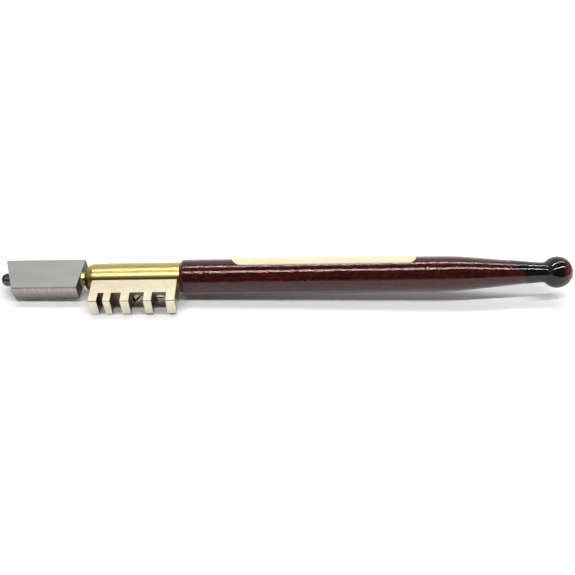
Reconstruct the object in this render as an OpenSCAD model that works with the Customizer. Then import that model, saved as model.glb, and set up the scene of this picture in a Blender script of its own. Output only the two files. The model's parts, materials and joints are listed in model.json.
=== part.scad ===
// Glazier's diamond glass cutter: turned wooden handle with a ball end, brass stem,
// nickel-silver breaker comb and a swivelling steel head that carries the diamond.
// It lies on a flat surface on its comb and barrel, with its axis along X and the tip at -X.

/* [Head block] */
// Width of the guide block, across the tool
block_w = 12.4; // [10.5:0.1:14]
// Thickness of the guide block
block_t = 5.4; // [5.2:0.1:7]
// Length of the guide block along its middle
block_l = 23; // [20:0.5:28]
// Slant of the cutting end, away from square
block_slant = 19; // [0:1:25]
// Slant of the stem end, away from square
back_slant = 5; // [0:1:6]
// Chamfer along the long edges of the block
block_edge = 0.3; // [0.1:0.05:0.5]

/* [Diamond holder] */
// Diameter of the round holder that carries the diamond
holder_d = 4.1; // [3.4:0.1:4.6]
// How far the holder stands out of the slanted end, along the axis
holder_out = 2.7; // [2.2:0.1:3.2]
// Diameter of the flat nose of the holder
holder_nose_d = 1.8; // [1.7:0.1:2.4]
// Depth of the holder's socket in the block
holder_depth = 9; // [6:0.5:10]
// Width of the diamond across its corners
diamond_w = 1.1; // [0.8:0.05:1.2]
// How far the diamond's point stands out of the holder
diamond_out = 0.25; // [0.1:0.05:0.4]

/* [Swivel] */
// Diameter of the spindle that the head turns on
spindle_d = 4.5; // [4:0.1:4.8]
// Running clearance of the spindle in the stem, on the radius
spindle_fit = 0.05; // [0.02:0.01:0.1]
// Visible neck between the block and the stem
neck_gap = 1.4; // [0.8:0.1:2]
// Depth of the spindle's spigot in the block
spigot_l = 8; // [6:0.5:9]
// Swing of the head each way from its middle position
swing = 20; // [5:1:25]

/* [Stem] */
// Diameter of the brass stem
stem_d = 9.6; // [9.2:0.1:10.6]
// Length of the rounded nose of the stem
nose_l = 3.3; // [2:0.1:5]
// Diameter of the flat front end of the nose
nose_d = 5.8; // [5.6:0.1:8]
// Diameter of the tang that is glued into the handle
tang_d = 6; // [5.6:0.1:6.6]
// Length of the tang
tang_l = 32; // [20:1:45]

/* [Breaker comb] */
// Thickness of the comb
comb_t = 6.2; // [5.4:0.1:7]
// Distance from the tool's axis to the outer face of the comb
comb_reach = 12.5; // [11.8:0.1:14]
// Radial depth of the four notches
notch_depth = 3.5; // [2.5:0.1:4]
// Widths of the four notches, from the head to the handle
notch_w = [1.9, 3.1, 4.5, 4.4]; // [1.5:0.1:5]
// Widths of the teeth ahead of each notch
tooth_w = [2.6, 2.2, 2.7, 2.5]; // [1.8:0.1:3.5]
// Width of the last tooth, beside the handle
last_tooth = 2.8; // [1.8:0.1:3.5]
// Distance from the front of the stem to the comb
comb_setback = 2.9; // [2.5:0.1:5]
// Gap between the comb and the handle
comb_gap = 0.8; // [0.4:0.1:2]

/* [Screws] */
// Diameter of the slotted screw heads
head_d = 3.2; // [2.8:0.1:3.6]
// Diameter of the screw shanks
shank_d = 2; // [1.6:0.1:2.2]

/* [Handle] */
// Length of the wooden handle
handle_l = 125.3; // [115:0.1:140]
// Diameter of the handle's barrel
barrel_d = 11.5; // [10.8:0.1:13]
// Length of the barrel, up to the start of the taper
barrel_l = 87.7; // [80:0.1:92]
// Diameter of the neck in front of the ball
neck_d = 6.4; // [5:0.1:7]
// Diameter of the ball end
ball_d = 10; // [8.6:0.1:10.5]

/* [Label] */
// Length of the blank label along the handle
label_l = 58.5; // [40:0.5:60]
// Width of the blank label, straight across
label_w = 5.9; // [4:0.1:7]
// Distance from the front of the handle to the label
label_setback = 16.5; // [8:0.5:18]
// Angle round the handle from the comb to the label
label_angle = 116; // [90:1:200]
// Thickness of the label
label_t = 0.2; // [0.1:0.05:0.3]

/* [Hidden] */
$fn = 96;
// Overlap that lets a cutting shape run past the face it cuts
past = 1;

// Sum of the first n numbers of a list
function sum_to(list, n) = n <= 0 ? 0 : list[n - 1] + sum_to(list, n - 1);

// Stations along the axis, measured from the foremost point of the tip
tip_reach = max(holder_out + diamond_out, block_w / 2 * tan(block_slant));
block_back = tip_reach + block_l;
nose_at = block_back + neck_gap;
comb_at = nose_at + comb_setback;
comb_l = sum_to(tooth_w, 4) + sum_to(notch_w, 4) + last_tooth;
handle_at = comb_at + comb_l + comb_gap;
total_l = handle_at + handle_l;
function notch_at(i) = comb_at + sum_to(tooth_w, i + 1) + sum_to(notch_w, i);
function notch_mid(i) = notch_at(i) + notch_w[i] / 2;

// Where the axis lies when the barrel and the comb's lower edge touch the surface
barrel_r = barrel_d / 2;
lie = asin(barrel_r / norm([comb_reach, comb_t / 2])) - atan2(comb_t / 2, comb_reach);
near_y = comb_reach * cos(lie) + comb_t / 2 * sin(lie);
far_y = max(barrel_r, block_w / 2 * cos(lie) + block_t / 2 * sin(lie));
axis_y = (near_y - far_y) / 2;

// Domed end of the holder, and the socket in its nose, filled round the stone
dome_l = 1.5;
socket_r = 0.65;
socket_l = 1.8;

// Swivel: the stop screw's dog runs in a part-turn groove of the spindle
spindle_r = spindle_d / 2;
bore_r = spindle_r + spindle_fit;
stop_at = notch_mid(2);
groove_depth = 0.8;
groove_floor_r = spindle_r - groove_depth;
groove_w = 1.8;
dog_r = 0.8;
dog_end_r = groove_floor_r + 0.1;
stop_slack = 1.5;
groove_half = swing + asin(dog_r / dog_end_r) + stop_slack;
spindle_past_dog = 3;
spindle_end = stop_at + spindle_past_dog;
button_gap = 0.05;
button_flange = 0.8;
button_stub = 1.6;
spring_l = 4.6;
spring_at = spindle_end + button_gap + button_flange;
bore_end = spring_at + spring_l;

// Coil spring
spring_wire_r = 0.22;
spring_mean_r = bore_r - 0.15 - spring_wire_r;
spring_turns = 5;
spring_steps = 16;
spring_sides = 6;

// Screws: the heads sit in counterbores in the roots of the two wide notches
root_r = comb_reach - notch_depth;
sink_d = head_d + 0.4;
sink_depth = 1.6;
head_h = 1.2;
head_edge = 0.35;
slot_w = 0.6;
slot_depth = 0.6;
comb_slot_turn = 4;
stop_slot_turn = 52;
head_seat_r = root_r - sink_depth;
comb_screw_end_r = bore_r + 0.4;
stop_screw_end_r = bore_r + 0.2;

// Tang: shallow rings that key the glue
tang_rings = 5;
tang_ring_w = 1.2;
tang_ring_depth = 0.35;
tang_tip = 0.8;

// Handle outline
rim_r = 1.2;
shoulder_r = 120;
neck_straight = 1.4;
fillet_r = 1.5;
ball_r = ball_d / 2;
neck_r = neck_d / 2;
ball_at = handle_l - ball_r;
fillet_at = ball_at - sqrt(pow(ball_r + fillet_r, 2) - pow(neck_r + fillet_r, 2));
taper_end = fillet_at - neck_straight;
taper = atan2(barrel_r - neck_r, taper_end - barrel_l);
shoulder_at = barrel_l - shoulder_r * tan(taper / 2);
ball_start = atan2(fillet_at - ball_at, neck_r + fillet_r);

// Points of an arc round a centre, from one angle to another, in n steps
function arc(centre, r, from, to, n) =
    [for (i = [0:n]) let (a = from + (to - from) * i / n) centre + r * [cos(a), sin(a)]];

// Puts the tool, drawn along X from its tip with the comb towards -Y, where it lies
module lay() {
    translate([-total_l / 2, axis_y, barrel_r]) rotate([lie, 0, 0]) children();
}

// A turned solid from an outline of [radius, station] points
module turned(outline) {
    rotate([0, 90, 0]) rotate_extrude() polygon(outline);
}

// A round bar or hole along the axis
module bar(r, from, to) {
    translate([from, 0, 0]) rotate([0, 90, 0]) cylinder(r = r, h = to - from);
}

// A round bar or hole from the axis towards the comb, at a station
module radial(r, at, from, to) {
    translate([at, -from, 0]) rotate([90, 0, 0]) cylinder(r = r, h = to - from);
}

// Places its children at the middle of the slanted end
module at_tip() {
    translate([tip_reach, 0, 0]) children();
}

// Lacquered hardwood, bored for the tang
module handle() {
    outline = concat(
        [[0, 0]],
        arc([barrel_r - rim_r, rim_r], rim_r, -90, 0, 8),
        arc([barrel_r - shoulder_r, shoulder_at], shoulder_r, 0, taper, 8),
        [[neck_r, taper_end]],
        arc([neck_r + fillet_r, fillet_at], fillet_r, 180, 180 + ball_start, 8),
        arc([0, ball_at], ball_r, ball_start, 90, 24));
    color("#4a1418") lay() difference() {
        translate([handle_at, 0, 0]) turned(outline);
        bar(tang_d / 2, handle_at - past, handle_at + tang_l + past);
    }
}

// Blank label with round ends, wrapped on the barrel
module label() {
    from = handle_at + label_setback;
    end_r = label_w / 2;
    color("#f6eccb") lay() intersection() {
        difference() {
            bar(barrel_r + label_t, from, from + label_l);
            bar(barrel_r, from - past, from + label_l + past);
        }
        rotate([90 - label_angle, 0, 0]) linear_extrude(barrel_d) polygon(concat(
            arc([from + end_r, 0], end_r, 90, 270, 24),
            arc([from + label_l - end_r, 0], end_r, -90, 90, 24)));
    }
}

// Brass stem with a rounded nose, a blind bore for the spindle and a ringed tang
module stem() {
    nose = [for (i = [0:10]) let (a = 9 * i)
        [nose_d / 2 + (stem_d - nose_d) / 2 * pow(sin(a), 1.4), nose_at + nose_l * (1 - cos(a))]];
    tang_end = handle_at + tang_l;
    ring_pitch = tang_l / (tang_rings + 1);
    tang_r = tang_d / 2;
    outline = concat(
        [[0, nose_at]], nose,
        [[stem_d / 2, handle_at], [tang_r, handle_at]],
        [[tang_r, tang_end - tang_tip], [tang_r - tang_tip, tang_end], [0, tang_end]]);
    color("#d8b25a") lay() difference() {
        turned(outline);
        bar(bore_r, nose_at - past, bore_end);
        radial(shank_d / 2, stop_at, 0, stem_d);
        radial(shank_d / 2, notch_mid(3), comb_screw_end_r, stem_d);
        for (i = [1:tang_rings]) difference() {
            bar(tang_d, handle_at + i * ring_pitch, handle_at + i * ring_pitch + tang_ring_w);
            bar(tang_r - tang_ring_depth, handle_at, tang_end);
        }
    }
}

// Nickel-silver bar, saddled on the stem, with four notches for breaking off strips
module breaker_comb() {
    edge = 0.15;
    half_t = comb_t / 2;
    section = [[0, -half_t], [comb_reach - edge, -half_t], [comb_reach, edge - half_t],
               [comb_reach, half_t - edge], [comb_reach - edge, half_t], [0, half_t]];
    color("#d9d2c0") lay() difference() {
        translate([comb_at, 0, 0]) rotate([90, 0, 90]) linear_extrude(comb_l)
            mirror([1, 0]) polygon(section);
        bar(stem_d / 2, comb_at - past, comb_at + comb_l + past);
        translate([comb_at - past, 0, -comb_t]) cube([comb_l + 2 * past, comb_reach, 2 * comb_t]);
        for (i = [0:3])
            translate([notch_at(i), -comb_reach - past, -comb_t])
                cube([notch_w[i], notch_depth + past, 2 * comb_t]);
        for (i = [2:3]) {
            radial(sink_d / 2, notch_mid(i), head_seat_r, root_r + past);
            radial(shank_d / 2, notch_mid(i), 0, comb_reach);
        }
    }
}

// Slotted cheese-head screw in a wide notch: its shank, then its head with a rounded rim
module slotted_screw(at, end_r, slot_turn) {
    head_r = head_d / 2;
    outline = concat(
        [[0, end_r], [shank_d / 2, end_r], [shank_d / 2, head_seat_r], [head_r, head_seat_r]],
        arc([head_r - head_edge, head_seat_r + head_h - head_edge], head_edge, 0, 90, 6),
        [[0, head_seat_r + head_h]]);
    translate([at, 0, 0]) rotate([90, 0, 0]) difference() {
        rotate_extrude() polygon(outline);
        translate([0, 0, head_seat_r + head_h - slot_depth + past]) rotate([0, 0, slot_turn])
            cube([head_d + past, slot_w, 2 * past], center = true);
    }
}

// Screw that clamps the rear of the comb on the stem
module comb_screw() {
    color("#8d8b85") lay() slotted_screw(notch_mid(3), comb_screw_end_r, comb_slot_turn);
}

// Screw that clamps the front of the comb, with a dog that retains the spindle and stops it
module stop_screw() {
    color("#8d8b85") lay() union() {
        slotted_screw(stop_at, stop_screw_end_r, stop_slot_turn);
        radial(dog_r, stop_at, dog_end_r, stop_screw_end_r);
    }
}

// Coil spring that keeps a little friction on the spindle
module friction_spring() {
    count = spring_turns * spring_steps;
    travel = spring_l - 2 * spring_wire_r;
    points = [for (i = [0:count]) let (a = 360 * i / spring_steps)
        for (j = [0:spring_sides - 1]) let (b = 360 * j / spring_sides,
            r = spring_mean_r + spring_wire_r * cos(b))
            [spring_at + spring_wire_r + travel * i / count + spring_wire_r * sin(b),
             r * cos(a), r * sin(a)]];
    sides = [for (i = [0:count - 1]) for (j = [0:spring_sides - 1])
        let (k = (j + 1) % spring_sides, p = i * spring_sides, q = p + spring_sides)
            [p + j, q + j, q + k, p + k]];
    ends = [[for (j = [0:spring_sides - 1]) j],
            [for (j = [0:spring_sides - 1]) (count + 1) * spring_sides - 1 - j]];
    color("#6f7276") lay() polyhedron(points, concat(sides, ends));
}

// Flanged button between the spring and the end of the spindle
module thrust_button() {
    flange_at = spindle_end + button_gap;
    color("#a7a9ac") lay() union() {
        bar(bore_r - 0.1, flange_at, spring_at);
        bar(spring_mean_r - spring_wire_r - 0.1, flange_at, spring_at + button_stub);
    }
}

// Brass spindle, fixed in the block, with the part-turn groove for the dog
module spindle() {
    end_edge = 0.3;
    outline = [[0, block_back - spigot_l], [spindle_r, block_back - spigot_l],
               [spindle_r, spindle_end - end_edge], [spindle_r - end_edge, spindle_end],
               [0, spindle_end]];
    color("#cfa64c") lay() difference() {
        turned(outline);
        translate([stop_at - groove_w / 2, 0, 0]) rotate([0, 90, 0])
            rotate([0, 0, -90 - groove_half]) rotate_extrude(angle = 2 * groove_half)
                translate([groove_floor_r, 0]) square([past, groove_w]);
    }
}

// Ground steel block that runs along the straightedge, with its cutting end on a slant
module guide_block() {
    half_w = block_w / 2;
    half_t = block_t / 2;
    front_step = half_w * tan(block_slant);
    back_step = half_w * tan(back_slant);
    plan = [[tip_reach + front_step, -half_w], [block_back - back_step, -half_w],
            [block_back + back_step, half_w], [tip_reach - front_step, half_w]];
    section = [[-half_w, block_edge - half_t], [block_edge - half_w, -half_t],
               [half_w - block_edge, -half_t], [half_w, block_edge - half_t],
               [half_w, half_t - block_edge], [half_w - block_edge, half_t],
               [block_edge - half_w, half_t], [-half_w, half_t - block_edge]];
    color("#aeb0ad") lay() difference() {
        intersection() {
            translate([0, 0, -half_t]) linear_extrude(block_t) polygon(plan);
            rotate([90, 0, 90]) linear_extrude(total_l) polygon(section);
        }
        bar(spindle_r, block_back - spigot_l, block_back + past);
        at_tip() bar(holder_d / 2, -past, holder_depth);
    }
}

// Dark steel holder, domed to a small flat nose, with a socket for the stone
module diamond_holder() {
    holder_r = holder_d / 2;
    nose_r = holder_nose_d / 2;
    dome = [for (i = [0:9]) let (a = 10 * i)
        [nose_r + (holder_r - nose_r) * pow(sin(a), 1.5), dome_l * (1 - cos(a)) - holder_out]];
    color("#3c3b3a") lay() at_tip() difference() {
        turned(concat([[0, -holder_out]], dome, [[holder_r, holder_depth], [0, holder_depth]]));
        bar(socket_r, -holder_out - past, socket_l - holder_out);
    }
}

// Soft solder that fills the socket round the stone
module setting() {
    color("#9a9690") lay() at_tip() difference() {
        bar(socket_r, -holder_out, socket_l - holder_out);
        stone();
    }
}

// Octahedral diamond, set point outwards
module diamond() {
    color("#eef2f4") lay() at_tip() stone();
}

// The stone's shape: two four-sided pyramids, base to base
module stone() {
    point = diamond_w / 2;
    translate([point - holder_out - diamond_out, 0, 0]) rotate([0, 90, 0]) {
        cylinder(r1 = point, r2 = 0, h = point, $fn = 4);
        mirror([0, 0, 1]) cylinder(r1 = point, r2 = 0, h = point, $fn = 4);
    }
}

handle();
label();
stem();
breaker_comb();
comb_screw();
stop_screw();
friction_spring();
thrust_button();
spindle();
guide_block();
diamond_holder();
setting();
diamond();
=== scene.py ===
"""Looks of the glazier's diamond glass cutter: materials, fine shapes, studio and camera.

The tool lies along X, tip towards -X and comb towards -Y. Angles "round the tool" start at -Y, the viewer's
side, and grow over the top, so 90 is straight up.
"""
import json
import math

import bmesh
import bpy
from mathutils import Matrix, Vector, noise


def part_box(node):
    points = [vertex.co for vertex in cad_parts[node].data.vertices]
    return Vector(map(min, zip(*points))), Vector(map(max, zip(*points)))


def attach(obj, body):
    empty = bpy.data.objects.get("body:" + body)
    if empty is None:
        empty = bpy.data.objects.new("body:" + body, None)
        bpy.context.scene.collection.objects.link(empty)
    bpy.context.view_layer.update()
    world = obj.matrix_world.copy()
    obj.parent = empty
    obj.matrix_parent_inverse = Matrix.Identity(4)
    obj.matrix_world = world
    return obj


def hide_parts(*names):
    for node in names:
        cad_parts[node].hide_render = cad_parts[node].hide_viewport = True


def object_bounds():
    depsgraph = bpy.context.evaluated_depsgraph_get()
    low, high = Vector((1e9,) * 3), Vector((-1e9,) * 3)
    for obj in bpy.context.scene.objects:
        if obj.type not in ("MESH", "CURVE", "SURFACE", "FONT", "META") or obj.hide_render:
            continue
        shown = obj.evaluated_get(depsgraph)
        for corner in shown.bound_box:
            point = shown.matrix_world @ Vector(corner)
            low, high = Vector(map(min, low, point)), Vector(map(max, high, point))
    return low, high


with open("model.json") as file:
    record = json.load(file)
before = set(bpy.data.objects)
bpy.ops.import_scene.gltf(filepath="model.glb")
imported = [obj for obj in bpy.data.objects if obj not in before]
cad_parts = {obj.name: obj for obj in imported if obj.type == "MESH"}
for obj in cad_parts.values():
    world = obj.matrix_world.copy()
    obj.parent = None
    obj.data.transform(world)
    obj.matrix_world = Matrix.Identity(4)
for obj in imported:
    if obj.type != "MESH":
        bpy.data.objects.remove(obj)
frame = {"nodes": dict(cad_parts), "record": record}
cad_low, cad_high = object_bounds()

MM = 0.001
# Points closer together than this are one point
SAME_POINT = 0.0005 * MM
RECORD = frame["record"]
MOUNTS = {mount["name"]: mount for mount in RECORD["mounts"]}
JOINT = RECORD["behaviour"]["joints"][0]
ROOT = "handle_and_stem"
HEAD = "cutting_head"

# The tool's axis, and the angle that the comb lies below the horizontal
AXIS = Vector((0, JOINT["pos_m"][1], JOINT["pos_m"][2]))
FACE = MOUNTS["straightedge_face"]["axis"]
LIE = math.atan2(FACE[2], FACE[1])
COMB_LOW, COMB_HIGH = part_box("breaker_comb")
HANDLE_LOW, HANDLE_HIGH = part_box("handle")
STEM_LOW, STEM_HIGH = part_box("stem")


# ---------------------------------------------------------------- node materials

def feed(tree, socket, value):
    """Links a socket to another, or sets its value."""
    if isinstance(value, bpy.types.NodeSocket):
        tree.links.new(value, socket)
    else:
        socket.default_value = value


def add_node(tree, kind, inputs=None, **settings):
    """Adds a node: inputs are values or sockets by name or number, settings are its properties."""
    made = tree.nodes.new(kind)
    for name, value in settings.items():
        setattr(made, name, value)
    for name, value in (inputs or {}).items():
        feed(tree, made.inputs[name], value)
    return made


class Shader:
    """A Principled material under construction, with its coordinates in millimetres of tool space."""

    def __init__(self, name, **values):
        self.material = bpy.data.materials.new(name)
        self.material.use_nodes = True
        self.tree = self.material.node_tree
        self.principled = self.tree.nodes["Principled BSDF"]
        for socket, value in values.items():
            self.principled.inputs[socket.replace("_", " ")].default_value = value
        source = self.node("ShaderNodeTexCoord")
        turn = Matrix.Rotation(-LIE, 3, "X")
        self.place = self.node("ShaderNodeMapping", {"Vector": source.outputs["Object"]})
        self.place.inputs["Rotation"].default_value = (-LIE, 0, 0)
        self.place.inputs["Scale"].default_value = (1 / MM,) * 3
        self.place.inputs["Location"].default_value = turn @ (-AXIS / MM)
        self.facing = self.node("ShaderNodeMapping", {"Vector": source.outputs["Normal"]},
                                vector_type="VECTOR")
        self.facing.inputs["Rotation"].default_value = (-LIE, 0, 0)

    def node(self, kind, inputs=None, **settings):
        return add_node(self.tree, kind, inputs, **settings)

    def noise(self, stretch, detail=3.0, roughness=0.5, offset=(0, 0, 0)):
        """Noise with the given number of features a millimetre along each axis of the tool."""
        at = self.node("ShaderNodeMapping", {"Vector": self.place.outputs[0]})
        at.inputs["Scale"].default_value = stretch
        at.inputs["Location"].default_value = offset
        return self.node("ShaderNodeTexNoise", {"Vector": at.outputs[0], "Scale": 1.0, "Detail": detail,
                                                "Roughness": roughness}).outputs["Fac"]

    def math(self, operation, a, b=0.0, c=0.0):
        return self.node("ShaderNodeMath", {0: a, 1: b, 2: c}, operation=operation).outputs[0]

    def ramp(self, factor, stops, interpolation="LINEAR"):
        """A colour ramp: stops are (position, colour), with the colour a grey value or three numbers."""
        made = self.node("ShaderNodeValToRGB", {"Fac": factor})
        made.color_ramp.interpolation = interpolation
        while len(made.color_ramp.elements) < len(stops):
            made.color_ramp.elements.new(1.0)
        for element, (position, colour) in zip(made.color_ramp.elements, stops):
            element.position = position
            element.color = (*colour, 1) if isinstance(colour, tuple) else (colour, colour, colour, 1)
        return made.outputs["Color"]

    def blend(self, factor, a, b, kind="MIX"):
        """Mixes two colours, each a socket or three numbers."""
        made = self.node("ShaderNodeMix", data_type="RGBA", blend_type=kind)
        feed(self.tree, made.inputs["Factor"], factor)
        for socket, value in zip((made.inputs[6], made.inputs[7]), (a, b)):
            feed(self.tree, socket, (*value, 1) if isinstance(value, tuple) else value)
        return made.outputs[2]

    def bump(self, height, depth, normal=None):
        """A bump whose full height is depth millimetres."""
        made = self.node("ShaderNodeBump", {"Height": height, "Distance": depth * MM, "Strength": 1.0})
        if normal is not None:
            feed(self.tree, made.inputs["Normal"], normal)
        return made.outputs["Normal"]

    def split(self, vector, axis):
        """One component of a vector."""
        return self.node("ShaderNodeSeparateXYZ", {0: vector}).outputs[axis]

    def component(self, vector, axis):
        """One component of a vector, its sign dropped."""
        return self.math("ABSOLUTE", self.split(vector, axis))

    def crevice_shade(self):
        """Painted shade on the stem: the narrow strips beside the comb's two faces, which are painted
        darker.
        """
        height = self.math("MULTIPLY", self.component(self.place.outputs[0], 2), 0.1)
        beside = self.ramp(height, [(0.31, 1.0), (0.40, 0.0)])
        outward = self.math("MULTIPLY", self.split(self.place.outputs[0], 1), -0.1)
        near = self.ramp(outward, [(0.10, 0.0), (0.25, 1.0)])
        return self.math("MULTIPLY", beside, near)

    def set(self, **sockets):
        """Links or sets the Principled shader's own sockets."""
        for socket, value in sockets.items():
            feed(self.tree, self.principled.inputs[socket.replace("_", " ")], value)
        return self.material


def lacquered_wood():
    """Hardwood stained dark red under a thick, slightly uneven gloss lacquer."""
    s = Shader("lacquered_wood", Roughness=0.13, Specular_IOR_Level=0.15,
               Specular_Tint=(1.0, 0.22, 0.20, 1.0), Coat_Weight=1.0, Coat_Roughness=0.02, Coat_IOR=1.45)
    grain = s.noise((0.10, 1.5, 1.5), detail=5, roughness=0.62)
    pores = s.noise((0.55, 5.0, 5.0), detail=2, offset=(3, 5, 9))
    mottle = s.noise((0.45, 0.9, 0.9), detail=4, roughness=0.6, offset=(8, 1, 4))
    wood = s.ramp(grain, [(0.30, (0.021, 0.0028, 0.0032)), (0.50, (0.030, 0.0041, 0.0041)),
                          (0.70, (0.048, 0.0068, 0.0057))])
    wood = s.blend(s.ramp(pores, [(0.38, 0.45), (0.50, 0.0)]), wood, (0.020, 0.002, 0.003))
    wood = s.blend(s.ramp(mottle, [(0.50, 0.0), (0.75, 0.40)]), wood, (0.115, 0.022, 0.014))
    ripple = s.noise((1.7, 2.4, 2.4), detail=3, roughness=0.60, offset=(1, 7, 2))
    coat = s.bump(ripple, 0.036)
    coat = s.bump(pores, 0.004, coat)
    return s.set(Base_Color=wood, Normal=s.bump(grain, 0.02), Coat_Normal=coat)


def dipped_enamel():
    """Black dip enamel, worn thin at the very end of the ball so that the red wood glows through."""
    s = Shader("dipped_enamel", Roughness=0.4, Specular_IOR_Level=0.0, Coat_Weight=1.0, Coat_Roughness=0.03,
               Coat_IOR=1.5)
    patch = s.noise((0.30, 0.35, 0.35), detail=2, offset=(4, 4, 1))
    end = HANDLE_HIGH.x / MM
    reach = s.node("ShaderNodeMapRange", {0: s.split(s.place.outputs[0], 0), 1: end - 6.2, 2: end - 1.8})
    thin = s.math("MULTIPLY_ADD", reach.outputs[0], 0.5, s.math("MULTIPLY", patch, 0.6))
    colour = s.ramp(thin, [(0.42, (0.0058, 0.0042, 0.0042)), (0.60, (0.030, 0.0050, 0.0045)),
                           (0.74, (0.100, 0.0160, 0.0130))])
    sag = s.noise((0.5, 0.7, 0.7), detail=2, offset=(2, 2, 6))
    return s.set(Base_Color=colour, Coat_Normal=s.bump(sag, 0.05))


def label_paper():
    """Cream sticker, satin, with faint fibres and a little yellowing."""
    s = Shader("label_paper", Roughness=0.55, Specular_IOR_Level=0.25)
    fibres = s.noise((1.2, 5.0, 5.0), detail=4, roughness=0.65)
    stain = s.noise((0.12, 0.35, 0.35), detail=3, offset=(6, 2, 2))
    paper = s.ramp(stain, [(0.3, (0.69, 0.62, 0.445)), (0.7, (0.66, 0.585, 0.405))])
    paper = s.blend(s.ramp(fibres, [(0.45, 0.0), (0.75, 0.30)]), paper, (0.60, 0.51, 0.34))
    return s.set(Base_Color=paper, Normal=s.bump(fibres, 0.012))


def brass():
    """Polished brass with fine turning lines round the axis and faint handling marks."""
    s = Shader("brass", Metallic=1.0)
    lines = s.noise((9.0, 0.25, 0.25), detail=3, roughness=0.7)
    wear = s.noise((0.25, 0.6, 0.6), detail=4, offset=(9, 3, 1))
    colour = s.ramp(wear, [(0.30, (0.445, 0.352, 0.130)), (0.65, (0.51, 0.41, 0.165))])
    colour = s.blend(s.ramp(lines, [(0.32, 0.50), (0.52, 0.0)]), colour, (0.34, 0.24, 0.08))
    # Painted shade: the stem is painted darker beside the comb
    colour = s.blend(s.crevice_shade(), colour, (0.20, 0.125, 0.02))
    rough = s.ramp(wear, [(0.30, 0.34), (0.70, 0.30)])
    return s.set(Base_Color=colour, Roughness=rough, Normal=s.bump(lines, 0.0018))


def nickel_silver():
    """Warm white comb alloy: drawn lines, rougher flats, painted shade on flats, notches and end faces,
    darkened edges.
    """
    s = Shader("nickel_silver", Metallic=1.0)
    drawn = s.noise((0.35, 9.0, 9.0), detail=3, roughness=0.7)
    milled = s.noise((0.4, 8.0, 0.4), detail=2, offset=(5, 2, 3))
    patch = s.noise((0.5, 0.8, 0.8), detail=4, offset=(1, 9, 5))
    walls = s.ramp(s.component(s.facing.outputs[0], 0), [(0.5, 0.0), (0.7, 1.0)])
    flats = s.ramp(s.component(s.facing.outputs[0], 2), [(0.55, 0.0), (0.8, 1.0)])
    depth = s.math("MULTIPLY", s.component(s.place.outputs[0], 1), 0.05)
    root = s.ramp(depth, [(0.50, 1.0), (0.56, 0.0)])
    root = s.math("MULTIPLY", root, s.ramp(s.component(s.facing.outputs[0], 1), [(0.5, 0.0), (0.7, 1.0)]))
    colour = s.ramp(patch, [(0.30, (0.72, 0.65, 0.51)), (0.70, (0.80, 0.74, 0.60))])
    colour = s.blend(s.ramp(drawn, [(0.32, 0.45), (0.52, 0.0)]), colour, (0.52, 0.45, 0.33))
    # Painted shade: the flats are painted a darker colour to tone down the lamps' reflection in them; their
    # higher roughness is the finish
    dull = s.ramp(patch, [(0.30, (0.57, 0.505, 0.37)), (0.70, (0.645, 0.58, 0.435))])
    colour = s.blend(flats, colour, dull)
    middle = (COMB_LOW.x + COMB_HIGH.x) / 2 / MM
    reach = (COMB_HIGH.x - COMB_LOW.x) / 2 / MM
    along = s.math("ABSOLUTE", s.math("SUBTRACT", s.split(s.place.outputs[0], 0), middle))
    ends = s.ramp(s.math("DIVIDE", along, reach), [(0.94, 0.0), (0.97, 1.0)])
    # Painted shade: the notch walls and roots are painted dark, and the comb's two end faces a darker grey
    # than the outsides
    wall_and_root_shade = s.blend(ends, (0.145, 0.118, 0.085), (0.50, 0.44, 0.34))
    colour = s.blend(s.math("MAXIMUM", walls, root), colour, wall_and_root_shade)
    # The rounded edges are painted darker, broken up by noise
    lean = s.math("MINIMUM", s.component(s.facing.outputs[0], 1), s.component(s.facing.outputs[0], 2))
    on_edge = s.ramp(lean, [(0.25, 0.0), (0.45, 1.0)])
    edge_darkening = s.math("MULTIPLY", on_edge, s.ramp(patch, [(0.40, 0.35), (0.55, 1.0)]))
    colour = s.blend(edge_darkening, colour, (0.085, 0.070, 0.050))
    rough = s.blend(flats, s.ramp(drawn, [(0.3, 0.40), (0.7, 0.26)]), (0.55, 0.55, 0.55))
    marks = s.blend(walls, drawn, milled)
    return s.set(Base_Color=colour, Roughness=rough, Normal=s.bump(marks, 0.003))


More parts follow.
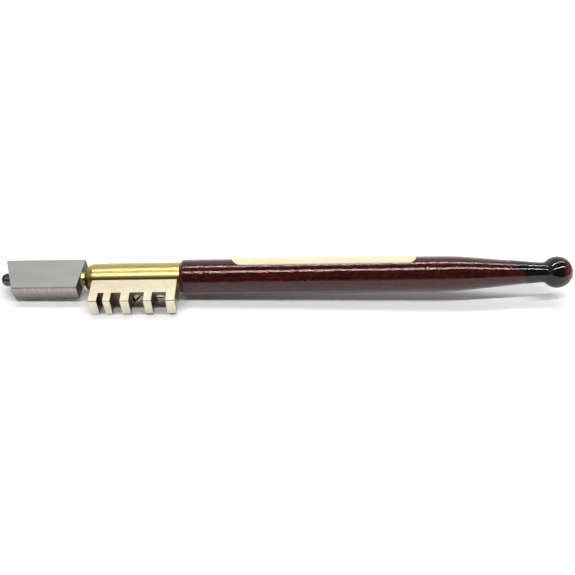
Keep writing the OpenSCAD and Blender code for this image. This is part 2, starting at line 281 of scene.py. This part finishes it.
def ground_steel():
    """Surface-ground steel: dull lines along the broad faces, smoother cross lines on the narrow ones, with
    painted reflection and painted shade.
    """
    s = Shader("ground_steel", Metallic=1.0)
    along = s.noise((0.30, 10.0, 0.30), detail=4, roughness=0.7)
    across = s.noise((4.5, 0.3, 0.30), detail=5, roughness=0.72, offset=(2, 8, 4))
    bands = s.noise((0.9, 0.2, 0.20), detail=3, roughness=0.6, offset=(7, 1, 1))
    patch = s.noise((0.10, 0.25, 0.25), detail=3, offset=(3, 3, 8))
    narrow = s.ramp(s.component(s.facing.outputs[0], 1), [(0.55, 0.0), (0.75, 1.0)])
    ends = s.ramp(s.component(s.facing.outputs[0], 0), [(0.55, 0.0), (0.75, 1.0)])
    broad = s.ramp(patch, [(0.3, (0.335, 0.335, 0.315)), (0.7, (0.372, 0.372, 0.352))])
    broad = s.blend(s.ramp(along, [(0.30, 0.35), (0.55, 0.0)]), broad, (0.29, 0.29, 0.275))
    # The cross-ground streaks are marks of the grinding; the narrow faces' base is painted lighter and
    # warmer than the broad faces', a painted reflection of the bright floor
    edge = s.ramp(across, [(0.30, (0.25, 0.22, 0.20)), (0.52, (0.42, 0.375, 0.355)),
                           (0.75, (0.64, 0.59, 0.57))])
    edge = s.blend(s.ramp(bands, [(0.35, 0.45), (0.60, 0.0)]), edge, (0.34, 0.29, 0.27))
    # Painted shade: the narrow faces are painted darker towards the bottom, next to the floor
    height = s.math("MULTIPLY_ADD", s.split(s.place.outputs[0], 2), 0.15, 0.5)
    edge = s.blend(s.ramp(height, [(0.15, 0.90), (0.72, 0.0)]), edge, (0.14, 0.13, 0.12))
    colour = s.blend(narrow, broad, edge)
    # Painted shade: the end faces are painted dark
    colour = s.blend(ends, colour, (0.16, 0.155, 0.145))
    marks = s.blend(narrow, along, across)
    dull = s.ramp(along, [(0.3, 0.66), (0.7, 0.58)])
    bright = s.ramp(across, [(0.3, 0.46), (0.7, 0.32)])
    rough = s.blend(narrow, dull, bright)
    return s.set(Base_Color=colour, Roughness=rough, Normal=s.bump(marks, 0.004))


def turned_steel(name, dark, light, roughness, slot_shade=None):
    """Small steel parts: blotched between two greys, with fine machining marks.

    Painted shade, if any, darkens the slots of the screw heads and their rims. Its two numbers are
    distances from the tool's axis in millimetres, where the painted shade is full and where it ends.
    """
    s = Shader(name, Metallic=1.0, Roughness=roughness)
    patch = s.noise((1.1, 1.3, 1.3), detail=5, roughness=0.65)
    marks = s.noise((6.0, 6.0, 6.0), detail=3, offset=(2, 1, 7))
    colour = s.ramp(patch, [(0.35, dark), (0.65, light)])
    if slot_shade:
        outward = s.component(s.place.outputs[0], 1)
        unshaded = s.node("ShaderNodeMapRange", {0: outward, 1: slot_shade[0], 2: slot_shade[1]})
        # Painted shade in the slots and on the heads' rims
        colour = s.blend(unshaded.outputs[0], (0.020, 0.017, 0.012), colour)
    return s.set(Base_Color=colour, Normal=s.bump(marks, 0.004))


def clear_stone():
    """Diamond: clear, with a high refractive index and faint inner haze."""
    s = Shader("clear_stone", Roughness=0.02, IOR=2.42, Transmission_Weight=1.0)
    haze = s.noise((4, 4, 4), detail=2)
    return s.set(Base_Color=s.ramp(haze, [(0.4, (0.97, 0.98, 1.0)), (0.7, (0.82, 0.86, 0.88))]))


def old_glue():
    """Dark brown glue and lacquer squeezed out at a joint."""
    s = Shader("old_glue", Roughness=0.25, Coat_Weight=0.6, Coat_Roughness=0.08)
    mix = s.noise((0.8, 1.2, 1.2), detail=3)
    return s.set(Base_Color=s.ramp(mix, [(0.35, (0.020, 0.008, 0.005)), (0.65, (0.055, 0.022, 0.012))]))


# The slots in the screw heads reach from 8 to 8.6 mm from the axis; painted shade there is full up to the
# first distance below and gone by the second
SLOT_SHADE = (8.30, 8.50)


def make_materials():
    """Every material, by the record's slot or by its own name."""
    return {
        "lacquered_wood": lacquered_wood(),
        "dipped_enamel": dipped_enamel(),
        "label_paper": label_paper(),
        "brass": brass(),
        "nickel_silver": nickel_silver(),
        "block_steel": ground_steel(),
        "screw_steel": turned_steel("screw_steel", (0.50, 0.48, 0.41), (0.84, 0.81, 0.73), 0.28, SLOT_SHADE),
        "spring_steel": turned_steel("spring_steel", (0.22, 0.23, 0.25), (0.42, 0.43, 0.45), 0.30),
        "holder_steel": turned_steel("holder_steel", (0.015, 0.015, 0.014), (0.150, 0.148, 0.138), 0.33),
        "solder": turned_steel("solder", (0.30, 0.29, 0.27), (0.55, 0.53, 0.50), 0.42),
        "diamond": clear_stone(),
        "old_glue": old_glue(),
    }


MATERIALS = make_materials()


# ---------------------------------------------------------------- meshes

def add_piece(name, mesh, body, material, sharp=35):
    """Links a finished mesh as a smooth-shaded piece that rides on a body."""
    mesh.materials.append(MATERIALS[material])
    mesh.shade_smooth()
    mesh.set_sharp_from_angle(angle=math.radians(sharp))
    piece = bpy.data.objects.new(name, mesh)
    bpy.context.scene.collection.objects.link(piece)
    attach(piece, body)
    return piece


def softened(node, body, material, width):
    """Stands in for a CAD node: the same solid with its sharp edges broken by a small round."""
    source = frame["nodes"][node]
    mesh = source.data.copy()
    mesh.materials.clear()
    form = bmesh.new()
    form.from_mesh(mesh)
    bmesh.ops.remove_doubles(form, verts=form.verts, dist=SAME_POINT)
    bmesh.ops.dissolve_limit(form, angle_limit=math.radians(0.4), verts=form.verts, edges=form.edges)
    form.to_mesh(mesh)
    form.free()
    piece = add_piece(node + "_finished", mesh, body, material, sharp=30)
    bevel = piece.modifiers.new("broken edges", "BEVEL")
    bevel.width = width * MM
    bevel.segments = 3
    bevel.limit_method = "ANGLE"
    bevel.angle_limit = math.radians(32)
    bevel.harden_normals = True
    bevel.use_clamp_overlap = True
    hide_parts(node)
    return piece


def close_up(mesh):
    """Joins points that coincide, so that the surface closes, and turns its faces outwards."""
    form = bmesh.new()
    form.from_mesh(mesh)
    bmesh.ops.remove_doubles(form, verts=form.verts, dist=SAME_POINT)
    bmesh.ops.recalc_face_normals(form, faces=form.faces)
    form.to_mesh(mesh)
    form.free()


def arc(centre, radius, start, stop, steps):
    """Points (x, r) of an arc in an outline, with angles in degrees from the +r direction."""
    angles = [math.radians(start + (stop - start) * i / steps) for i in range(steps + 1)]
    return [(centre[0] + radius * math.sin(a), centre[1] + radius * math.cos(a)) for a in angles]


def turned(name, outline, body, material, place=None, segments=128, swell=None, sharp=35):
    """A solid of revolution from (x, r) points, pole to pole; swell(x, angle) adds to the radius."""
    place = place or Matrix.Translation(AXIS)
    points = []
    rings = []
    for x, r in outline:
        count = segments if r > 1e-7 else 1
        rings.append(range(len(points), len(points) + count))
        for k in range(count):
            angle = 2 * math.pi * k / segments
            radius = r + (swell(x, angle) if swell and count > 1 else 0)
            points.append(place @ Vector((x, -radius * math.cos(angle), radius * math.sin(angle))))
    faces = []
    for one, two in zip(rings, rings[1:]):
        for k in range(segments):
            n = (k + 1) % segments
            corners = [one[k % len(one)], two[k % len(two)], two[n % len(two)], one[n % len(one)]]
            faces.append(list(dict.fromkeys(corners)))
    mesh = bpy.data.meshes.new(name)
    mesh.from_pydata(points, [], [face for face in faces if len(face) > 2])
    close_up(mesh)
    return add_piece(name, mesh, body, material, sharp)


# ---------------------------------------------------------------- handle

FRONT = HANDLE_LOW.x
BARREL_R = MOUNTS["barrel"]["dims"]["r_mm"] * MM
TANG_R = 3.0 * MM
NECK_GAP = 1.4 * MM
RIM_R = 1.2 * MM
BARREL_L = 87.7 * MM
SHOULDER_R = 120 * MM
NECK_R = 3.2 * MM
NECK_STRAIGHT = 1.4 * MM
FILLET_R = 1.5 * MM
BALL_R = 5.0 * MM


def handle_curve():
    """The outside of the handle from the rim to the ball's pole, as in the CAD, with finer steps."""
    length = HANDLE_HIGH.x - FRONT
    ball = length - BALL_R
    fillet = ball - math.sqrt((BALL_R + FILLET_R) ** 2 - (NECK_R + FILLET_R) ** 2)
    taper_end = fillet - NECK_STRAIGHT
    taper = math.degrees(math.atan2(BARREL_R - NECK_R, taper_end - BARREL_L))
    shoulder = BARREL_L - SHOULDER_R * math.tan(math.radians(taper / 2))
    meet = math.degrees(math.atan2(fillet - ball, NECK_R + FILLET_R))
    curve = arc((RIM_R, BARREL_R - RIM_R), RIM_R, -90, 0, 12)
    curve += arc((shoulder, BARREL_R - SHOULDER_R), SHOULDER_R, 0, taper, 16)
    curve += [(taper_end, NECK_R)]
    curve += arc((fillet, NECK_R + FILLET_R), FILLET_R, 180, 180 + meet, 10)
    curve += arc((ball, 0), BALL_R, meet, 90, 40)
    return [(FRONT + x, max(r, 0)) for x, r in curve]


def finely(curve, step):
    """The same curve with long straights cut into steps."""
    out = [curve[0]]
    for (x0, r0), (x1, r1) in zip(curve, curve[1:]):
        count = max(1, round(abs(x1 - x0) / step))
        out += [(x0 + (x1 - x0) * i / count, r0 + (r1 - r0) * i / count) for i in range(1, count + 1)]
    return out


def hand_finish(x, angle):
    """Unevenness of a hand-sanded, brush-lacquered barrel, on the radius."""
    around = Vector((math.cos(angle), math.sin(angle), 0)) * 1.4
    slow = noise.noise(around + Vector((0, 0, x / (14 * MM))))
    quick = noise.noise(around * 3.2 + Vector((7, 3, x / (2.6 * MM))))
    return (0.010 * slow + 0.0035 * quick) * MM


# The enamel's thickness and its lip's length, and how far the wood's end and the skin's inner side lie
# below the outside
DIP_T = 0.07 * MM
DIP_LIP = DIP_T * 2.5
WOOD_SHORT = 0.05 * MM
SKIN_SUNK = 0.03 * MM
# Rows of the enamel's section over the lip and behind it. The inner side takes every third of them.
LIP_ROWS = 5
SKIN_ROWS = 85
INNER_STEP = 3


def make_handle():
    curve = finely(handle_curve(), 0.5 * MM)
    bore_end = STEM_HIGH.x + 1 * MM
    inside = [(bore_end, 0), (bore_end, TANG_R), (FRONT, TANG_R)]
    outside = [(min(x, HANDLE_HIGH.x - WOOD_SHORT), r) for x, r in curve[:-1]]
    piece = turned("turned_handle", inside + outside + [(outside[-1][0], 0)], ROOT,
                   "lacquered_wood", swell=hand_finish)
    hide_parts("handle")


def dip_edge(angle):
    """Distance from the ball's end to the wavy front of the dip, round the tool."""
    from_top = angle - math.radians(110)
    wave = 16.8 + 2.7 * math.cos(from_top) + 0.8 * math.cos(2 * from_top)
    drips = noise.noise(Vector((math.cos(angle), math.sin(angle), 0)) * 2.5)
    return (wave + 0.7 * drips) * MM


def radius_at(curve, x):
    """The radius of an outline at a place along it."""
    for (x0, r0), (x1, r1) in zip(curve, curve[1:]):
        if x0 <= x <= x1:
            return r0 + (r1 - r0) * (x - x0) / max(x1 - x0, 1e-9)
    return 0.0


def dip_outline(curve, angle):
    """The enamel's section at one angle: over the lip, along the outside to the pole, and back inside."""
    end = HANDLE_HIGH.x
    start = end - dip_edge(angle)
    outer = [(start, -SKIN_SUNK)]
    for row in range(1, LIP_ROWS + 1):
        lean = row / LIP_ROWS * math.pi / 2
        outer.append((start + DIP_LIP * (1 - math.cos(lean)), DIP_T * math.sin(lean)))
    for row in range(1, SKIN_ROWS + 1):
        share = math.sin(row / SKIN_ROWS * math.pi / 2)
        outer.append((start + DIP_LIP + (end - start - DIP_LIP) * share, DIP_T))
    section = [(x, radius_at(curve, x) + lift + hand_finish(x, angle)) for x, lift in outer[:-1]]
    section.append((end, 0.0))
    inner_end = end - WOOD_SHORT - SKIN_SUNK
    section.append((inner_end, 0.0))
    for x, _ in reversed(outer[LIP_ROWS + 1:-1:INNER_STEP]):
        inside = radius_at(curve, x) - SKIN_SUNK + hand_finish(x, angle)
        section.append((min(x, inner_end), max(inside, 0.0)))
    return section


def make_dip():
    """The enamel that the neck and ball were dipped in: a thin closed skin with a rounded, wavy lip."""
    curve = finely(handle_curve(), 0.1 * MM)
    segments = 160
    points = []
    for k in range(segments):
        angle = 2 * math.pi * k / segments
        section = dip_outline(curve, angle)
        points += [AXIS + Vector((x, -r * math.cos(angle), r * math.sin(angle))) for x, r in section]
    rows = len(section)
    faces = []
    for k in range(segments):
        one, two = k * rows, (k + 1) % segments * rows
        for row in range(rows):
            after = (row + 1) % rows
            faces.append([one + row, one + after, two + after, two + row])
    mesh = bpy.data.meshes.new("end_dip")
    mesh.from_pydata(points, [], faces)
    close_up(mesh)
    add_piece("end_dip", mesh, ROOT, "dipped_enamel", sharp=60)


make_handle()
make_dip()


# ---------------------------------------------------------------- metal

# How far a bead reaches into the two faces that it joins
BEAD_SUNK = 0.05 * MM


def fillet_ring(name, place, radius, size, body, material):
    """A concave bead in the corner between a rod along X and a face at x = 0, on its +X side."""
    outline = [(-BEAD_SUNK, radius - BEAD_SUNK), (-BEAD_SUNK, radius + size)]
    outline += [(size * (1 - math.cos(a)), radius + size * (1 - math.sin(a)))
                for a in [math.radians(9 * i) for i in range(11)]]
    outline += [(size, radius - BEAD_SUNK), (-BEAD_SUNK, radius - BEAD_SUNK)]
    return turned(name, outline, body, material, place=place, segments=96, sharp=50)


def make_metal():
    for node, body, material, width in (
            ("stem", ROOT, "brass", 0.08), ("breaker_comb", ROOT, "nickel_silver", 0.15),
            ("comb_screw", ROOT, "screw_steel", 0.05), ("stop_screw", ROOT, "screw_steel", 0.05),
            ("guide_block", HEAD, "block_steel", 0.14), ("diamond_holder", HEAD, "holder_steel", 0.07)):
        softened(node, body, material, width)
    for node, material in (("friction_spring", "spring_steel"), ("thrust_button", "spring_steel"),
                           ("spindle", "brass"), ("setting", "solder"), ("diamond", "diamond"),
                           ("label", "label_paper")):
        mesh = frame["nodes"][node].data
        for index in range(len(mesh.materials)):
            mesh.materials[index] = MATERIALS[material]


def make_beads():
    """Solder at the spindle, and glue between the stem and the wood."""
    spindle_low, spindle_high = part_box("spindle")
    spindle_r = (spindle_high.z - spindle_low.z) / 2
    block_back = STEM_LOW.x - NECK_GAP
    place = Matrix.Translation(Vector((block_back, AXIS.y, AXIS.z)))
    fillet_ring("spindle_solder", place, spindle_r, 0.3 * MM, HEAD, "solder")
    stem_r = (STEM_HIGH.z - STEM_LOW.z) / 2
    glue = Matrix.Translation(Vector((FRONT, AXIS.y, AXIS.z))) @ Matrix.Rotation(math.pi, 4, "Z")
    fillet_ring("stem_glue", glue, stem_r, 0.22 * MM, ROOT, "old_glue")


make_metal()
make_beads()


# ---------------------------------------------------------------- studio

# The tool rests on the comb's front corner, nose down, so the floor falls away towards the ball
TIP_DOWN = math.radians(1.6)
FLOOR_SIZE = 6.0
FLOOR_DROP = 0.02 * MM
# Away from the tool the floor is lit from below, so that it stays white: where that starts and is complete
GLOW_REACH = (0.16, 0.50)
GLOW = 0.6
STRIP_DISTANCE = 0.50
STRIP_SIZE = (0.80, 0.008)
# Each strip's angle round the tool, its turn seen from above, and its power in watts
STRIPS = {"front": (67.5, 9, 2.5), "back": (107.0, 14, 1.85)}
STRIP_SHIFT = 0.08
# Towards its two ends the tent is dim low down and bright above: where that starts and is complete, as the
# share of a direction that lies along X, then the same for height, and the two brightnesses
ENDS = (0.55, 0.80)
ENDS_HEIGHT = (0.10, 0.35)
ENDS_LOW = 0.12
ENDS_HIGH = 0.42
# The tent's brightness by angle, in degrees round the tool
TENT = ((0, 0.035), (115, 0.035), (120, 0.82), (145, 0.82), (156, 1.2), (180, 1.4))


def white_paper():
    """Matt white, lit from below away from the tool."""
    paper = bpy.data.materials.new("white_paper")
    paper.use_nodes = True
    tree = paper.node_tree
    shader = tree.nodes["Principled BSDF"]
    shader.inputs["Base Color"].default_value = (0.90, 0.90, 0.90, 1)
    shader.inputs["Roughness"].default_value = 0.9
    shader.inputs["Specular IOR Level"].default_value = 0.1
    shader.inputs["Emission Color"].default_value = (1, 1, 1, 1)
    place = add_node(tree, "ShaderNodeTexCoord")
    away = add_node(tree, "ShaderNodeVectorMath", {0: place.outputs["Object"]}, operation="LENGTH")
    glow = add_node(tree, "ShaderNodeMapRange", {"Value": away.outputs["Value"], "From Min": GLOW_REACH[0],
                                                 "From Max": GLOW_REACH[1], "To Max": GLOW})
    feed(tree, shader.inputs["Emission Strength"], glow.outputs["Result"])
    return paper


def make_floor():
    mesh = bpy.data.meshes.new("floor")
    half = FLOOR_SIZE / 2
    corners = [(-half, -half, 0), (half, -half, 0), (half, half, 0), (-half, half, 0)]
    mesh.from_pydata(corners, [], [(0, 1, 2, 3)])
    mesh.materials.append(white_paper())
    floor = bpy.data.objects.new("floor", mesh)
    bpy.context.scene.collection.objects.link(floor)
    drop = Vector((COMB_LOW.x, 0, -FLOOR_DROP))
    floor.matrix_world = Matrix.Translation(drop) @ Matrix.Rotation(TIP_DOWN, 4, "Y")


def make_strips():
    """Two long tubes over the tool, one before and one behind, that draw the two lines on the lacquer."""
    for name, (angle, turn, power) in STRIPS.items():
        light = bpy.data.lights.new(name + "_strip", "AREA")
        light.shape = "RECTANGLE"
        light.size, light.size_y = STRIP_SIZE
        light.energy = power
        lamp = bpy.data.objects.new(name + "_strip", light)
        a = math.radians(angle)
        away = Vector((0, -math.cos(a), math.sin(a)))
        face = Matrix((Vector((1, 0, 0)), away.cross(Vector((1, 0, 0))), away)).transposed().to_4x4()
        place = Matrix.Translation(AXIS + away * STRIP_DISTANCE + Vector((STRIP_SHIFT, 0, 0)))
        lamp.matrix_world = place @ Matrix.Rotation(math.radians(turn), 4, "Z") @ face
        bpy.context.scene.collection.objects.link(lamp)


def make_world():
    """A light tent: bright behind the tool, dark on the viewer's side above the floor."""
    world = bpy.data.worlds.new("tent")
    bpy.context.scene.world = world
    world.use_nodes = True
    tree = world.node_tree
    source = add_node(tree, "ShaderNodeTexCoord")
    parts = add_node(tree, "ShaderNodeSeparateXYZ", {0: source.outputs["Generated"]})
    front = add_node(tree, "ShaderNodeMath", {0: parts.outputs["Y"], 1: -1}, operation="MULTIPLY")
    angle = add_node(tree, "ShaderNodeMath", {0: parts.outputs["Z"], 1: front.outputs[0]},
                     operation="ARCTAN2")
    share = add_node(tree, "ShaderNodeMath", {0: angle.outputs[0], 1: math.pi}, operation="DIVIDE")
    ramp = add_node(tree, "ShaderNodeValToRGB", {"Fac": share.outputs[0]})
    while len(ramp.color_ramp.elements) < len(TENT):
        ramp.color_ramp.elements.new(1.0)
    brightest = max(grey for _, grey in TENT)
    for element, (degrees, grey) in zip(ramp.color_ramp.elements, TENT):
        element.position = degrees / 180
        element.color = (grey / brightest, grey / brightest, grey / brightest, 1)
    sideways = add_node(tree, "ShaderNodeMath", {0: parts.outputs["X"]}, operation="ABSOLUTE")
    ends = add_node(tree, "ShaderNodeMapRange", {"Value": sideways.outputs[0], "From Min": ENDS[0],
                                                 "From Max": ENDS[1]})
    height = add_node(tree, "ShaderNodeMapRange", {
        "Value": parts.outputs["Z"], "From Min": ENDS_HEIGHT[0], "From Max": ENDS_HEIGHT[1],
        "To Min": ENDS_LOW / brightest, "To Max": ENDS_HIGH / brightest})
    both = add_node(tree, "ShaderNodeMix", data_type="RGBA")
    feed(tree, both.inputs["Factor"], ends.outputs["Result"])
    feed(tree, both.inputs[6], ramp.outputs["Color"])
    feed(tree, both.inputs[7], height.outputs["Result"])
    background = tree.nodes["Background"]
    feed(tree, background.inputs["Color"], both.outputs[2])
    feed(tree, background.inputs["Strength"], brightest)


# Camera: round the tool, above it, and rolled as the tool lies in the frame
CAMERA_TURN = math.radians(0.33)
CAMERA_RISE = math.radians(35.32)
CAMERA_ROLL = math.radians(-0.98)
CAMERA_DISTANCE = 241.1 * MM
CAMERA_AIM = Vector((0.23, -1.16, -1.65)) * MM
CAMERA_LENS = 47.55
SENSOR = 36.0


def make_camera():
    data = bpy.data.cameras.new("camera")
    data.sensor_width = SENSOR
    data.lens = CAMERA_LENS
    data.clip_start, data.clip_end = 0.01, 20
    camera = bpy.data.objects.new("camera", data)
    back = Vector((math.sin(CAMERA_TURN) * math.cos(CAMERA_RISE),
                   -math.cos(CAMERA_TURN) * math.cos(CAMERA_RISE), math.sin(CAMERA_RISE)))
    level = Vector((math.cos(CAMERA_TURN), math.sin(CAMERA_TURN), 0))
    up = back.cross(level)
    right = level * math.cos(CAMERA_ROLL) + up * math.sin(CAMERA_ROLL)
    up = back.cross(right)
    camera.matrix_world = Matrix((right, up, back)).transposed().to_4x4()
    camera.location = (cad_low + cad_high) / 2 + CAMERA_AIM + back * CAMERA_DISTANCE
    bpy.context.scene.collection.objects.link(camera)
    bpy.context.scene.camera = camera


make_floor()
make_strips()
make_world()
make_camera()
bpy.context.scene.view_settings.view_transform = "Standard"
